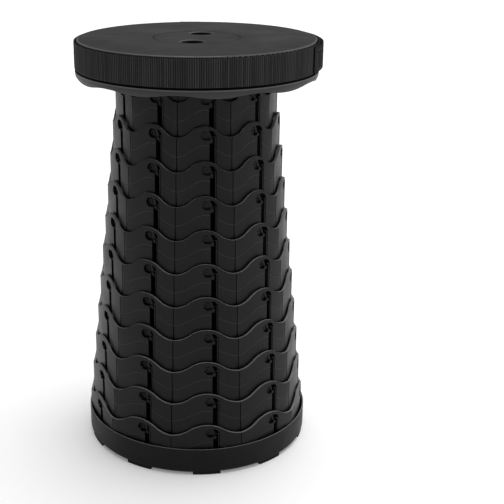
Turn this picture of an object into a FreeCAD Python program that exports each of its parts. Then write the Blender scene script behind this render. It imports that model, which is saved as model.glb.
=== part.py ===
import FreeCAD, Part
import Sketcher
import os

# Collapsible telescopic stool, in millimetres.
# +Z is up, and the origin is the centre of the footprint on the ground.
# The stool stands drawn out: ten nested rings hang in each other between the base and the seat.
# One facet of every ring faces -Y.

DRIVING_SIZES = {
    # the nest of rings
    "facets": 10,
    "rings": 10,
    "rise": 35.0,
    "travel": 34.15,
    "top_ring_radius": 86.0,
    "ring_wall": 2.3,
    "ring_gap": 1.35,
    "facet_bulge": 0.6,
    "wave_depth": 11.7,
    "crease_depth": 0.5,
    "crease_width": 0.9,
    # the slot in each facet, measured down from the crest of its own ring
    "lock_drop": 9.1,
    "pocket_radius": 5.0,
    "pocket_offset": 1.15,
    "slot_drift": 0.234,
    "channel_offset": 7.1,
    "channel_width": 7.0,
    "slot_corner": 7.2,
    "ledge_width": 3.3,
    "ledge_thickness": 0.7,
    "ledge_drop": 10.5,
    "ledge_rib_width": 1.5,
    "ledge_rib_height": 1.0,
    # what runs in the slot, measured down from the crest of the ring outside it
    "boss_offset": -1.6,
    "boss_radius": 2.6,
    "boss_dimple": 1.1,
    "boss_relief": 1.0,
    "arm_top": 3.5,
    "arm_width": 2.8,
    "lug_drop": 15.7,
    "lug_height": 3.4,
    "lug_slope": 0.8,
    "lug_width": 3.0,
    "lug_gap": 0.3,
    "lug_bite": 1.1,
    "lug_clearance": 0.3,
    "lug_web": 1.2,
    "ring_rim": 2.85,
    # the base
    "foot_height": 2.0,
    "foot_depth": 13.0,
    "foot_half_angle": 7.0,
    "foot_inset": 1.0,
    "sole_thickness": 1.2,
    "floor_thickness": 1.0,
    "floor_clearance": 0.2,
    "step_height": 3.0,
    "step_width": 3.1,
    "nest_clearance": 0.65,
    "band_proud": 1.4,
    "band_corner": 4.5,
    "rib_thickness": 1.6,
    "floor_rib_height": 3.6,
    "floor_hub_radius": 22.0,
    "floor_rib_reach": 68.0,
    # the seat
    "seat_clearance": 0.35,
    "plate_thickness": 2.8,
    "frame_thickness": 1.6,
    "seat_rib_height": 1.1,
    "seat_wall": 1.6,
    "seat_edge_radius": 2.0,
    "skirt_clearance": 1.1,
    "skirt_wall": 1.8,
    "skirt_depth": 40.2,
    "skirt_wave": 3.3,
    "skirt_landing": 0.7,
    "lip_drop": 31.7,
    "lip_height": 1.3,
    "lip_reach": 2.4,
    "lock_twist": 4.5,
    # the cap in the middle of the seat
    "cap_radius": 45.0,
    "cap_clearance": 0.3,
    "finger_spacing": 60.0,
    "finger_radius": 12.0,
    "finger_edge": 1.0,
    "finger_wall": 1.6,
    "finger_depth": 16.0,
    # how the collar hangs in the seat frame
    "hub_radius": 70.0,
    "hub_wall": 3.5,
    "hub_lip": 2.3,
    "hub_lip_height": 3.0,
    "flange_thickness": 2.5,
    "flange_clearance": 0.3,
    # the screws that hold the frame to the cover
    "screw_count": 5,
    "screw_circle": 55.0,
    "screw_radius": 1.4,
    "screw_length": 3.6,
    "screw_head_radius": 3.0,
    "screw_head_height": 2.0,
    "screw_clearance": 0.3,
    "pilot_clearance": 0.1,
    # the strap
    "strap_width": 27.5,
    "strap_thickness": 2.0,
    "strap_slack": 0.8,
    "strap_clearance": 0.3,
    "strap_drop": 1.7,
    "loop_inset": 1.0,
    "loop_span": 90.0,
    "loop_start": 56.0,
    "slider_angle": 84.0,
    "slider_length": 24.0,
    "slider_margin": 0.9,
    "slider_thickness": 2.6,
    "slider_bar": 3.4,
}

doc = FreeCAD.newDocument("telescopic_stool")
sheet = doc.addObject("Spreadsheet::Sheet", "Sizes")
for row, (alias, size) in enumerate(DRIVING_SIZES.items(), 1):
    sheet.set("A%d" % row, alias)
    sheet.set("B%d" % row, str(size))
    sheet.setAlias("B%d" % row, alias)
doc.recompute()


# Sizes worked out from the sheet, as expressions

def size(alias):
    return "Sizes." + alias


HALF_FACET = "(180deg / Sizes.facets)"
PITCH = "(360deg / Sizes.facets)"
STEP = "(Sizes.ring_wall + Sizes.ring_gap)"
COLLAR_RADIUS = "(Sizes.top_ring_radius - %s)" % STEP
BASE_RADIUS = "(Sizes.top_ring_radius + Sizes.rings * %s)" % STEP
BAND_RADIUS = "(%s + Sizes.band_proud)" % BASE_RADIUS

# A facet is an arc between two creases. These turn the radius of its creases
# into the radius of that arc and into its distance from the axis.
ROUND_DROP = "(1 - cos(%s))" % HALF_FACET
ARC_FACTOR = "((sin({a})^2 + (Sizes.facet_bulge * {d})^2) / (2 * Sizes.facet_bulge * {d}))".format(
    a=HALF_FACET, d=ROUND_DROP)
FACET_FACTOR = "(cos({a}) + Sizes.facet_bulge * {d})".format(a=HALF_FACET, d=ROUND_DROP)

CHANNEL_END = "(Sizes.lug_drop + Sizes.travel + Sizes.lug_clearance)"
RING_HEIGHT = "(%s + Sizes.ring_rim)" % CHANNEL_END
LUG_TOP = "(Sizes.rise + Sizes.lug_drop - Sizes.lug_height)"
SHORT_CHANNEL_END = "(%s - Sizes.lug_web)" % LUG_TOP
LUG_REACH = "(Sizes.ring_gap + Sizes.lug_bite)"

SOLE_TOP = "(Sizes.foot_height + Sizes.sole_thickness)"
FLOOR_TOP = "(%s + Sizes.floor_thickness)" % SOLE_TOP
BASE_CREST = "(%s + Sizes.nest_clearance + %s - (Sizes.rise - Sizes.travel))" % (FLOOR_TOP, RING_HEIGHT)
SEAT_THICKNESS = "(Sizes.plate_thickness + Sizes.frame_thickness + Sizes.seat_rib_height)"
SEAT_RISE = "(Sizes.travel + %s + Sizes.seat_clearance)" % SEAT_THICKNESS
SEAT_TOP = "(%s + Sizes.rings * Sizes.rise + %s)" % (BASE_CREST, SEAT_RISE)
FOLDED_HEIGHT = "(%s - (Sizes.rings + 1) * Sizes.travel)" % SEAT_TOP
BAND_TOP = "(%s - Sizes.skirt_depth - Sizes.skirt_landing)" % FOLDED_HEIGHT

SKIRT_INSIDE = "(%s + Sizes.skirt_clearance)" % BASE_RADIUS
SKIRT_OUTSIDE = "(%s + Sizes.skirt_wall)" % SKIRT_INSIDE
SEAT_RADIUS = "(%s + Sizes.seat_wall)" % SKIRT_INSIDE
LIP_RADIUS = "(%s + Sizes.lip_reach)" % SEAT_RADIUS
STRAP_INSIDE = "(%s + Sizes.strap_slack)" % SEAT_RADIUS
STRAP_OUTSIDE = "(%s + Sizes.strap_thickness)" % STRAP_INSIDE


def crest_height(order):
    """Height of the crest of a ring: 0 is the seat collar, 1 the top ring and rings + 1 the base."""
    return "(%s + Sizes.rise * (Sizes.rings + 1 - %d))" % (BASE_CREST, order)


def crease_radius(order):
    """Radius of the creases on the outside of a ring."""
    return "(Sizes.top_ring_radius + %d * %s)" % (order - 1, STEP)


def pocket_place(order):
    """How far right of the middle of its facet a ring has the pocket of its slot."""
    return "(Sizes.pocket_offset + %d * Sizes.slot_drift)" % (order - 1)


def channel_left(order):
    """The left side of the channel of a ring's slot."""
    return "(%s + Sizes.channel_offset - Sizes.channel_width / 2)" % pocket_place(order)


def boss_place(order):
    """How far right of the middle of its facet a ring has its boss, in the pocket of the next ring."""
    return "(%s + Sizes.boss_offset)" % pocket_place(order + 1)


# Helpers for bodies, sketches and features

def number(owner, expression):
    value = owner.evalExpression(expression)
    return float(getattr(value, "Value", value))


def new_body(label, height="0", turn="0deg"):
    body = doc.addObject("PartDesign::Body", label)
    body.Label = label
    body.AllowCompound = True
    body.setExpression("Placement.Base.z", height)
    body.setExpression("Placement.Rotation.Angle", turn)
    return body


def datum(body, role):
    return next(part for part in body.Origin.OriginFeatures if part.Role == role)


def new_sketch(body, name, plane, offset="0"):
    """A sketch on a plane of the body's origin, moved along its normal."""
    sketch = body.newObject("Sketcher::SketchObject", name)
    sketch.AttachmentSupport = (datum(body, plane), [""])
    sketch.MapMode = "FlatFace"
    sketch.setExpression("AttachmentOffset.Base.z", offset)
    return sketch


def fix(sketch, kind, elements, expression):
    """Add a driving dimension and bind it to the sheet."""
    index = sketch.addConstraint(Sketcher.Constraint(kind, *elements, number(sketch, expression)))
    sketch.setExpression("Constraints[%d]" % index, expression)


LINE = None


def left(radius):
    """An arc whose centre lies to the left of the way the outline runs."""
    return (radius, 1)


def right(radius):
    """An arc whose centre lies to the right of the way the outline runs."""
    return (radius, -1)


def draw_outline(sketch, corners):
    """Draw a closed outline. Each corner is x, y and the edge to the next corner."""
    points = [FreeCAD.Vector(number(sketch, x), number(sketch, y), 0) for x, y, edge in corners]
    starts = []
    ends = []
    for i, (x, y, edge) in enumerate(corners):
        start = points[i]
        end = points[(i + 1) % len(points)]
        if edge is LINE:
            geometry = sketch.addGeometry(Part.LineSegment(start, end))
            starts.append((geometry, 1))
            ends.append((geometry, 2))
            continue
        expression, side = edge
        radius = number(sketch, expression)
        chord = end - start
        rise = max(radius ** 2 - (chord.Length / 2) ** 2, 0) ** 0.5
        normal = FreeCAD.Vector(-chord.y, chord.x, 0).normalize()
        centre = (start + end) * 0.5 + normal * (rise * side)
        middle = centre - normal * (radius * side)
        first, last = (start, end) if side > 0 else (end, start)
        arc = Part.Arc(first, middle, last)
        geometry = sketch.addGeometry(arc)
        starts.append((geometry, 1 if side > 0 else 2))
        ends.append((geometry, 2 if side > 0 else 1))
    for i, (x, y, edge) in enumerate(corners):
        follower = starts[(i + 1) % len(corners)]
        sketch.addConstraint(Sketcher.Constraint("Coincident", *ends[i], *follower))
    for i, (x, y, edge) in enumerate(corners):
        fix(sketch, "DistanceX", (-1, 1, *starts[i]), x)
        fix(sketch, "DistanceY", (-1, 1, *starts[i]), y)
        if edge is not LINE:
            fix(sketch, "Radius", (starts[i][0],), edge[0])


def draw_circle(sketch, x, y, radius):
    centre = FreeCAD.Vector(number(sketch, x), number(sketch, y), 0)
    circle = Part.Circle(centre, FreeCAD.Vector(0, 0, 1), number(sketch, radius))
    geometry = sketch.addGeometry(circle)
    fix(sketch, "DistanceX", (-1, 1, geometry, 3), x)
    fix(sketch, "DistanceY", (-1, 1, geometry, 3), y)
    fix(sketch, "Radius", (geometry,), radius)


def draw_box(sketch, low_x, low_y, high_x, high_y):
    draw_outline(sketch, [
        (low_x, low_y, LINE),
        (high_x, low_y, LINE),
        (high_x, high_y, LINE),
        (low_x, high_y, LINE),
    ])


def feature(body, kind, name, sketch):
    made = body.newObject("PartDesign::" + kind, name)
    made.Profile = sketch
    sketch.Visibility = False
    return made


def pad(body, name, sketch, length, reverse=False):
    made = feature(body, "Pad", name, sketch)
    made.Reversed = reverse
    made.setExpression("Length", length)
    return made


def pocket(body, name, sketch, length=None, reverse=False):
    """A pocket of a given depth, or right through without one."""
    made = feature(body, "Pocket", name, sketch)
    made.Reversed = reverse
    if length is None:
        made.Type = "ThroughAll"
    else:
        made.setExpression("Length", length)
    return made


def revolution(body, name, sketch, angle="360deg"):
    made = feature(body, "Revolution", name, sketch)
    made.ReferenceAxis = (datum(body, "Z_Axis"), [""])
    made.setExpression("Angle", angle)
    return made


def pattern(body, name, originals, count):
    """Repeat features about the body's Z, or the whole solid so far if none are named."""
    last = body.Tip
    made = body.newObject("PartDesign::PolarPattern", name)
    made.Originals = originals or [last]
    made.Axis = (datum(body, "Z_Axis"), [""])
    if not originals:
        made.TransformMode = "Whole shape"
    made.Angle = 360
    made.setExpression("Occurrences", count)
    body.Tip = made
    return made


# The facets of a ring

def draw_facet_wall(sketch, outside, inside, half_angle=HALF_FACET):
    """One facet in plan: an arc outside, an arc inside, and half a crease groove at each end."""
    bow = "(%s * %s)" % (outside, ARC_FACTOR)
    inner_bow = "(%s * %s)" % (inside, ARC_FACTOR)
    groove = "(Sizes.crease_width / 2)"
    root = "(%s - Sizes.crease_depth)" % outside
    edge_x = "({r} * sin({a}) - {g} * cos({a}))".format(r=outside, a=half_angle, g=groove)
    edge_y = "(-{r} * cos({a}) - {g} * sin({a}))".format(r=outside, a=half_angle, g=groove)
    root_x = "(%s * sin(%s))" % (root, half_angle)
    root_y = "(-%s * cos(%s))" % (root, half_angle)
    inner_x = "(%s * sin(%s))" % (inside, half_angle)
    inner_y = "(-%s * cos(%s))" % (inside, half_angle)
    draw_outline(sketch, [
        ("-" + edge_x, edge_y, left(bow)),
        (edge_x, edge_y, LINE),
        (root_x, root_y, LINE),
        (inner_x, inner_y, right(inner_bow)),
        ("-" + inner_x, inner_y, LINE),
        ("-" + root_x, root_y, LINE),
    ])


def draw_facet_plate(sketch, outside, inside, half_angle=HALF_FACET):
    """One facet of a flat plate: an arc of a facet outside and a round arc about the axis inside."""
    bow = "(%s * %s)" % (outside, ARC_FACTOR)
    outer_x = "(%s * sin(%s))" % (outside, half_angle)
    outer_y = "(-%s * cos(%s))" % (outside, half_angle)
    inner_x = "(%s * sin(%s))" % (inside, half_angle)
    inner_y = "(-%s * cos(%s))" % (inside, half_angle)
    draw_outline(sketch, [
        ("-" + outer_x, outer_y, left(bow)),
        (outer_x, outer_y, LINE),
        (inner_x, inner_y, right(inside)),
        ("-" + inner_x, inner_y, LINE),
    ])


def cut_wave(body, radius):
    """Cut the wavy top edge of one facet: a crest in its middle, a trough at each crease."""
    reach = "((%s - Sizes.ring_wall / 2) * sin(%s))" % (radius, HALF_FACET)
    depth = size("wave_depth")
    bow = "((%s^2 + %s^2) / (4 * %s))" % (reach, depth, depth)
    beyond = "(%s + Sizes.ring_wall)" % reach
    sketch = new_sketch(body, "wave_line", "XZ_Plane")
    draw_outline(sketch, [
        ("-" + beyond, size("ring_wall"), LINE),
        ("-" + beyond, "-" + depth, LINE),
        ("-" + reach, "-" + depth, left(bow)),
        ("-%s / 2" % reach, "-%s / 2" % depth, right(bow)),
        ("%s / 2" % reach, "-%s / 2" % depth, left(bow)),
        (reach, "-" + depth, LINE),
        (beyond, "-" + depth, LINE),
        (beyond, size("ring_wall"), LINE),
    ])
    return pocket(body, "wave", sketch, reverse=True)


def cut_slot(body, order):
    """Cut the hooked slot: a round pocket under the crest, and a channel that drops from its right side."""
    place = pocket_place(order)
    near = channel_left(order)
    far = "(%s + Sizes.channel_width)" % near
    radius = size("pocket_radius")
    top = "-(Sizes.lock_drop - Sizes.pocket_radius)"
    bottom = "-(Sizes.lock_drop + Sizes.pocket_radius)"
    corner = size("slot_corner")
    sketch = new_sketch(body, "slot_shape", "XZ_Plane")
    draw_outline(sketch, [
        ("%s - %s" % (place, radius), "-Sizes.lock_drop", left(radius)),
        (place, bottom, LINE),
        (near, bottom, LINE),
        (near, "-" + SHORT_CHANNEL_END, LINE),
        (far, "-" + SHORT_CHANNEL_END, LINE),
        (far, "%s - %s" % (top, corner), left(corner)),
        ("%s - %s" % (far, corner), top, LINE),
        (place, top, left(radius)),
    ])
    return pocket(body, "slot", sketch, reverse=True)


def cut_track(body, radius, order):
    """Groove the inside of the wall under the channel, where the lug of the ring inside runs on."""
    near = channel_left(order)
    far = "(%s + Sizes.lug_width + 2 * Sizes.lug_gap)" % near
    start = "((%s - Sizes.ring_wall) * %s - Sizes.ring_wall)" % (radius, FACET_FACTOR)
    sketch = new_sketch(body, "track_shape", "XZ_Plane", start)
    draw_box(sketch, near, "-" + CHANNEL_END, far, "-Sizes.rise")
    return pocket(body, "track", sketch, "Sizes.ring_wall + Sizes.lug_bite + Sizes.lug_gap", reverse=True)


def add_ledge(body, radius, order):
    """The thin ledge inside the right side of the channel, and the rib on it that guides the lug."""
    far = "(%s + Sizes.channel_width)" % channel_left(order)
    near = "(%s - Sizes.ledge_width)" % far
    inside = "((%s - Sizes.ring_wall) * %s)" % (radius, FACET_FACTOR)
    low = "-%s - Sizes.lug_web" % SHORT_CHANNEL_END
    top = "-Sizes.ledge_drop"
    ledge = new_sketch(body, "ledge_shape", "XZ_Plane", "%s - Sizes.ledge_thickness / 2" % inside)
    draw_box(ledge, near, low, "%s + Sizes.ledge_rib_width" % far, top)
    pad(body, "ledge", ledge, "1.5 * Sizes.ledge_thickness")
    rib = new_sketch(body, "ledge_rib_shape", "XZ_Plane", inside)
    draw_box(rib, near, low, "%s + Sizes.ledge_rib_width" % near, top)
    return pad(body, "ledge_rib", rib, "Sizes.ledge_thickness + Sizes.ledge_rib_height")


def add_boss(body, radius, order):
    """The low round boss that shows in the pocket of the ring outside, with a dimple in its middle."""
    start = "(%s * %s - Sizes.ring_wall / 2)" % (radius, FACET_FACTOR)
    height = "-(Sizes.rise + Sizes.lock_drop)"
    sketch = new_sketch(body, "boss_shape", "XZ_Plane", start)
    draw_circle(sketch, boss_place(order), height, size("boss_radius"))
    draw_circle(sketch, boss_place(order), height, size("boss_dimple"))
    return pad(body, "boss", sketch, "Sizes.ring_wall / 2 + Sizes.boss_relief")


def add_arm(body, radius, order):
    """The steep arm from behind the rim of the ring outside down to the lug."""
    near = pocket_place(order + 1)
    end = "(%s + Sizes.lug_gap)" % channel_left(order + 1)
    top = "-(Sizes.rise + Sizes.arm_top)"
    low = "-(%s + Sizes.lug_slope)" % LUG_TOP
    start = "(%s * %s - Sizes.ring_wall / 2)" % (radius, FACET_FACTOR)
    sketch = new_sketch(body, "arm_shape", "XZ_Plane", start)
    draw_outline(sketch, [
        (near, top, LINE),
        (end, low, LINE),
        ("%s + Sizes.arm_width" % end, low, LINE),
        ("%s + Sizes.arm_width" % near, top, LINE),
    ])
    return pad(body, "arm", sketch, "Sizes.ring_wall / 2 + Sizes.boss_relief")


def add_lug(body, radius, order):
    """The lug that slides in the channel of the ring outside. Its top slants."""
    near = "(%s + Sizes.lug_gap)" % channel_left(order + 1)
    far = "(%s + Sizes.lug_width)" % near
    low = "-(Sizes.rise + Sizes.lug_drop)"
    start = "(%s * %s - Sizes.ring_wall / 2)" % (radius, FACET_FACTOR)
    sketch = new_sketch(body, "lug_shape", "XZ_Plane", start)
    draw_outline(sketch, [
        (near, low, LINE),
        (far, low, LINE),
        (far, "-(%s + Sizes.lug_slope)" % LUG_TOP, LINE),
        (near, "-" + LUG_TOP, LINE),
    ])
    return pad(body, "lug", sketch, "Sizes.ring_wall / 2 + %s" % LUG_REACH)


def facet_wall(body, radius, top, bottom):
    """The wall of one facet, between two heights measured from the crest."""
    sketch = new_sketch(body, "facet_plan", "XY_Plane", top)
    draw_facet_wall(sketch, radius, "(%s - Sizes.ring_wall)" % radius)
    return pad(body, "facet", sketch, "%s - (%s)" % (top, bottom), reverse=True)


def make_ring(order):
    """A moving ring: one facet with all its details, ten times round."""
    radius = crease_radius(order)
    body = new_body("ring_%02d" % order, crest_height(order))
    facet_wall(body, radius, size("ring_wall"), "-" + RING_HEIGHT)
    cut_wave(body, radius)
    cut_slot(body, order)
    add_ledge(body, radius, order)
    add_boss(body, radius, order)
    add_arm(body, radius, order)
    add_lug(body, radius, order)
    cut_track(body, radius, order)
    pattern(body, "ring", None, size("facets"))
    return body


def make_seat_collar():
    """The innermost ring. Its round flange hangs from the hub of the seat frame."""
    radius = COLLAR_RADIUS
    body = new_body("seat_collar", crest_height(0))
    top = "(Sizes.travel - Sizes.rise + Sizes.seat_clearance - Sizes.floor_clearance)"
    facet_wall(body, radius, top, "-" + RING_HEIGHT)
    add_boss(body, radius, 0)
    add_arm(body, radius, 0)
    add_lug(body, radius, 0)
    flange = new_sketch(body, "flange_plan", "XY_Plane", top)
    draw_facet_plate(flange, "(%s - Sizes.ring_wall / 2)" % radius,
                     "(Sizes.hub_radius + Sizes.flange_clearance)")
    pad(body, "flange", flange, size("flange_thickness"), reverse=True)
    pattern(body, "ring", None, size("facets"))
    return body


def make_base_ring():
    """The outermost ring. It has no lugs of its own and stands in the base cup."""
    order = sheet.get("rings") + 1
    radius = crease_radius(order)
    body = new_body("base_ring", crest_height(order))
    facet_wall(body, radius, size("ring_wall"), "Sizes.foot_height + Sizes.step_height - %s" % BASE_CREST)
    cut_wave(body, radius)
    cut_slot(body, order)
    add_ledge(body, radius, order)
    cut_track(body, radius, order)
    pattern(body, "ring", None, size("facets"))
    return body


def make_base_cup():
    """The shallow cup with a step that the base ring stands on: a round band, a sole and a ribbed floor."""
    body = new_body("base_cup", size("foot_height"))
    hub = size("floor_hub_radius")
    corner = size("band_corner")
    inside = "(%s + Sizes.floor_clearance)" % BASE_RADIUS
    band_top = "(%s - Sizes.foot_height)" % BAND_TOP
    profile = new_sketch(body, "cup_profile", "XZ_Plane")
    draw_outline(profile, [
        ("0", "0", LINE),
        ("%s - %s" % (BAND_RADIUS, corner), "0", left(corner)),
        (BAND_RADIUS, corner, LINE),
        (BAND_RADIUS, band_top, LINE),
        (inside, band_top, LINE),
        (inside, size("step_height"), LINE),
        ("%s - Sizes.step_width" % inside, size("step_height"), LINE),
        ("%s - Sizes.step_width" % inside, size("sole_thickness"), LINE),
        ("0", size("sole_thickness"), LINE),
    ])
    cup = revolution(body, "cup", profile)
    floor = new_sketch(body, "floor_plan", "XY_Plane", "Sizes.sole_thickness / 2")
    draw_facet_plate(floor, "(%s - Sizes.ring_wall - Sizes.floor_clearance)" % BASE_RADIUS, hub)
    floor_pad = pad(body, "floor", floor, "Sizes.sole_thickness / 2 + Sizes.floor_thickness")
    rib = new_sketch(body, "rib_plan", "XY_Plane", "Sizes.sole_thickness")
    draw_box(rib, "-Sizes.rib_thickness / 2", "-Sizes.floor_rib_reach", "Sizes.rib_thickness / 2", "-" + hub)
    rib_pad = pad(body, "rib", rib, "Sizes.floor_thickness + Sizes.floor_rib_height")
    pattern(body, "floor_ribs", [floor_pad, rib_pad], size("facets"))
    for name, outside in (("hub", "(%s + Sizes.rib_thickness)" % hub),
                          ("rim", "(Sizes.floor_rib_reach + Sizes.rib_thickness)")):
        plan = new_sketch(body, name + "_plan", "XY_Plane")
        draw_circle(plan, "0", "0", outside)
        draw_circle(plan, "0", "0", "(%s - Sizes.rib_thickness)" % outside)
        pad(body, name, plan, "Sizes.sole_thickness + Sizes.floor_thickness + Sizes.floor_rib_height")
    return body


def make_foot_pads():
    """Rubber pads, one under each facet, moulded to the rounded edge of the cup."""
    half = "(Sizes.foot_half_angle * 1deg)"
    body = new_body("foot_pads", "0", "%s - %s" % (HALF_FACET, half))
    outside = "(%s - Sizes.foot_inset)" % BAND_RADIUS
    corner = size("band_corner")
    corner_x = "(%s - %s)" % (BAND_RADIUS, corner)
    edge = "(Sizes.foot_height + {c} - sqrt({c}^2 - ({o} - {x})^2))".format(c=corner, o=outside, x=corner_x)
    sketch = new_sketch(body, "foot_profile", "XZ_Plane")
    draw_outline(sketch, [
        ("(%s - Sizes.foot_depth)" % outside, "0", LINE),
        (outside, "0", LINE),
        (outside, edge, right(corner)),
        (corner_x, size("foot_height"), LINE),
        ("(%s - Sizes.foot_depth)" % outside, size("foot_height"), LINE),
    ])
    foot = revolution(body, "foot", sketch, "2 * %s" % half)
    pattern(body, "feet", [foot], size("facets"))
    return body


# The seat, whose bodies have their own zero at the top of the seat

LOCKED = "Sizes.lock_twist * 1deg"


def make_seat_cover():
    """The round top with its rim and wavy skirt, in one shell."""
    body = new_body("seat_cover", SEAT_TOP, LOCKED)
    corner = size("seat_edge_radius")
    hole = "(Sizes.cap_radius + Sizes.cap_clearance)"
    lip_low = "(Sizes.lip_drop + Sizes.lip_height)"
    drop = "(Sizes.skirt_depth - %s)" % lip_low
    taper = "(%s - %s)" % (LIP_RADIUS, SKIRT_OUTSIDE)
    bow = "((%s^2 + %s^2) / (2 * %s))" % (drop, taper, taper)
    shell = new_sketch(body, "shell_profile", "XZ_Plane")
    draw_outline(shell, [
        (hole, "0", LINE),
        (hole, "-Sizes.plate_thickness", LINE),
        (SKIRT_INSIDE, "-Sizes.plate_thickness", LINE),
        (SKIRT_INSIDE, "-Sizes.skirt_depth", LINE),
        (SKIRT_OUTSIDE, "-Sizes.skirt_depth", left(bow)),
        (LIP_RADIUS, "-" + lip_low, LINE),
        (LIP_RADIUS, "-Sizes.lip_drop", LINE),
        (SEAT_RADIUS, "-Sizes.lip_drop", LINE),
        (SEAT_RADIUS, "-" + corner, left(corner)),
        ("%s - %s" % (SEAT_RADIUS, corner), "0", LINE),
    ])
    revolution(body, "shell", shell)
    reach = "(%s * sin(%s))" % (SKIRT_INSIDE, HALF_FACET)
    rise = size("skirt_wave")
    bend = "((%s^2 + %s^2) / (4 * %s))" % (reach, rise, rise)
    low = "-Sizes.skirt_depth"
    beyond = "(%s - Sizes.skirt_wall)" % low
    wave = new_sketch(body, "skirt_wave_line", "YZ_Plane")
    draw_outline(wave, [
        ("-" + reach, beyond, LINE),
        (reach, beyond, LINE),
        (reach, low, right(bend)),
        ("%s / 2" % reach, "%s + %s / 2" % (low, rise), left(bend)),
        ("-%s / 2" % reach, "%s + %s / 2" % (low, rise), right(bend)),
        ("-" + reach, low, LINE),
    ])
    scallop = pocket(body, "scallop", wave, reverse=True)
    pattern(body, "scallops", [scallop], size("facets"))
    pilot = new_sketch(body, "pilot_plan", "XY_Plane", "-Sizes.plate_thickness")
    draw_circle(pilot, "0", "-Sizes.screw_circle", "Sizes.screw_radius + Sizes.pilot_clearance")
    hole_depth = "Sizes.screw_length - Sizes.frame_thickness + Sizes.screw_clearance"
    pilot_hole = pocket(body, "pilot_hole", pilot, hole_depth, reverse=True)
    pattern(body, "pilot_holes", [pilot_hole], size("screw_count"))
    return body


def make_centre_cap():
    """The cap in the middle of the seat, with two finger holes that run down as short tubes."""
    turn = "%s + 2 * %s" % (LOCKED, PITCH)
    body = new_body("centre_cap", SEAT_TOP, turn)
    disc = new_sketch(body, "cap_plan", "XY_Plane")
    draw_circle(disc, "0", "0", size("cap_radius"))
    pad(body, "cap", disc, size("plate_thickness"), reverse=True)
    place = "Sizes.finger_spacing / 2"
    tube = new_sketch(body, "tube_plan", "XY_Plane")
    draw_circle(tube, place, "0", "Sizes.finger_radius + Sizes.finger_wall")
    tube_pad = pad(body, "tube", tube, size("finger_depth"), reverse=True)
    pattern(body, "tubes", [tube_pad], "2")
    bore = new_sketch(body, "bore_profile", "XZ_Plane")
    draw_outline(bore, [
        (place, "Sizes.finger_edge", LINE),
        (place, "-Sizes.finger_depth - Sizes.finger_edge", LINE),
        (place + " + Sizes.finger_radius", "-Sizes.finger_depth - Sizes.finger_edge", LINE),
        (place + " + Sizes.finger_radius", "-Sizes.finger_edge", LINE),
        (place + " + Sizes.finger_radius + 2 * Sizes.finger_edge", "Sizes.finger_edge", LINE),
    ])
    groove = feature(body, "Groove", "finger_hole", bore)
    groove.ReferenceAxis = (bore, ["Edge1"])
    groove.Angle = 360
    pattern(body, "finger_holes", [groove], "2")
    return body


def make_seat_frame():
    """The ribbed plate under the cover. The collar's flange turns on its hub, above the hub's lip."""
    body = new_body("seat_frame", SEAT_TOP, LOCKED)
    plate_top = "-Sizes.plate_thickness"
    plate_low = "-(Sizes.plate_thickness + Sizes.frame_thickness)"
    lip_top = "-(%s + Sizes.floor_clearance + Sizes.flange_thickness + Sizes.flange_clearance)" % SEAT_THICKNESS
    hub_end = "%s - Sizes.hub_lip_height" % lip_top
    rim = "(%s - Sizes.cap_clearance)" % SKIRT_INSIDE
    hub = size("hub_radius")
    profile = new_sketch(body, "frame_profile", "XZ_Plane")
    draw_outline(profile, [
        ("0", plate_low, LINE),
        ("Sizes.hub_radius - Sizes.hub_wall", plate_low, LINE),
        ("Sizes.hub_radius - Sizes.hub_wall", hub_end, LINE),
        (hub, hub_end, LINE),
        ("Sizes.hub_radius + Sizes.hub_lip", lip_top, LINE),
        (hub, lip_top, LINE),
        (hub, plate_low, LINE),
        (rim, plate_low, LINE),
        (rim, plate_top, LINE),
        ("0", plate_top, LINE),
    ])
    revolution(body, "plate", profile)
    rib = new_sketch(body, "rib_plan", "XY_Plane", plate_low)
    draw_box(rib, "-Sizes.rib_thickness / 2", "-%s + 2 * Sizes.seat_wall" % rim,
             "Sizes.rib_thickness / 2", "-Sizes.hub_radius + Sizes.hub_wall / 2")
    rib_pad = pad(body, "rib", rib, size("seat_rib_height"), reverse=True)
    pattern(body, "ribs", [rib_pad], size("facets"))
    hole = new_sketch(body, "screw_hole_plan", "XY_Plane", plate_top)
    draw_circle(hole, "0", "-Sizes.screw_circle", "Sizes.screw_radius + Sizes.screw_clearance")
    screw_hole = pocket(body, "screw_hole", hole)
    pattern(body, "screw_holes", [screw_hole], size("screw_count"))
    tubes = new_sketch(body, "tube_hole_plan", "XY_Plane", plate_top)
    clear = "Sizes.finger_radius + Sizes.finger_wall + Sizes.cap_clearance"
    across = "2 * %s" % PITCH
    for side in ("", "-"):
        draw_circle(tubes, "%sSizes.finger_spacing / 2 * cos(%s)" % (side, across),
                    "%sSizes.finger_spacing / 2 * sin(%s)" % (side, across), clear)
    pocket(body, "tube_holes", tubes)
    return body


def make_seat_screws():
    """Short self-tapping screws, put in from below."""
    body = new_body("seat_screws", SEAT_TOP, LOCKED)
    seat = "-(Sizes.plate_thickness + Sizes.frame_thickness)"
    head = new_sketch(body, "head_plan", "XY_Plane", seat)
    draw_circle(head, "0", "-Sizes.screw_circle", size("screw_head_radius"))
    pad(body, "head", head, size("screw_head_height"), reverse=True)
    shank = new_sketch(body, "shank_plan", "XY_Plane", seat)
    draw_circle(shank, "0", "-Sizes.screw_circle", size("screw_radius"))
    pad(body, "shank", shank, size("screw_length"))
    pattern(body, "screws", None, size("screw_count"))
    return body


def make_strap():
    """The webbing band round the rim of the seat."""
    body = new_body("strap", SEAT_TOP, LOCKED)
    sketch = new_sketch(body, "webbing_section", "XZ_Plane")
    draw_box(sketch, STRAP_INSIDE, "-(Sizes.strap_drop + Sizes.strap_width)",
             STRAP_OUTSIDE, "-Sizes.strap_drop")
    revolution(body, "webbing", sketch)
    return body


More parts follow.
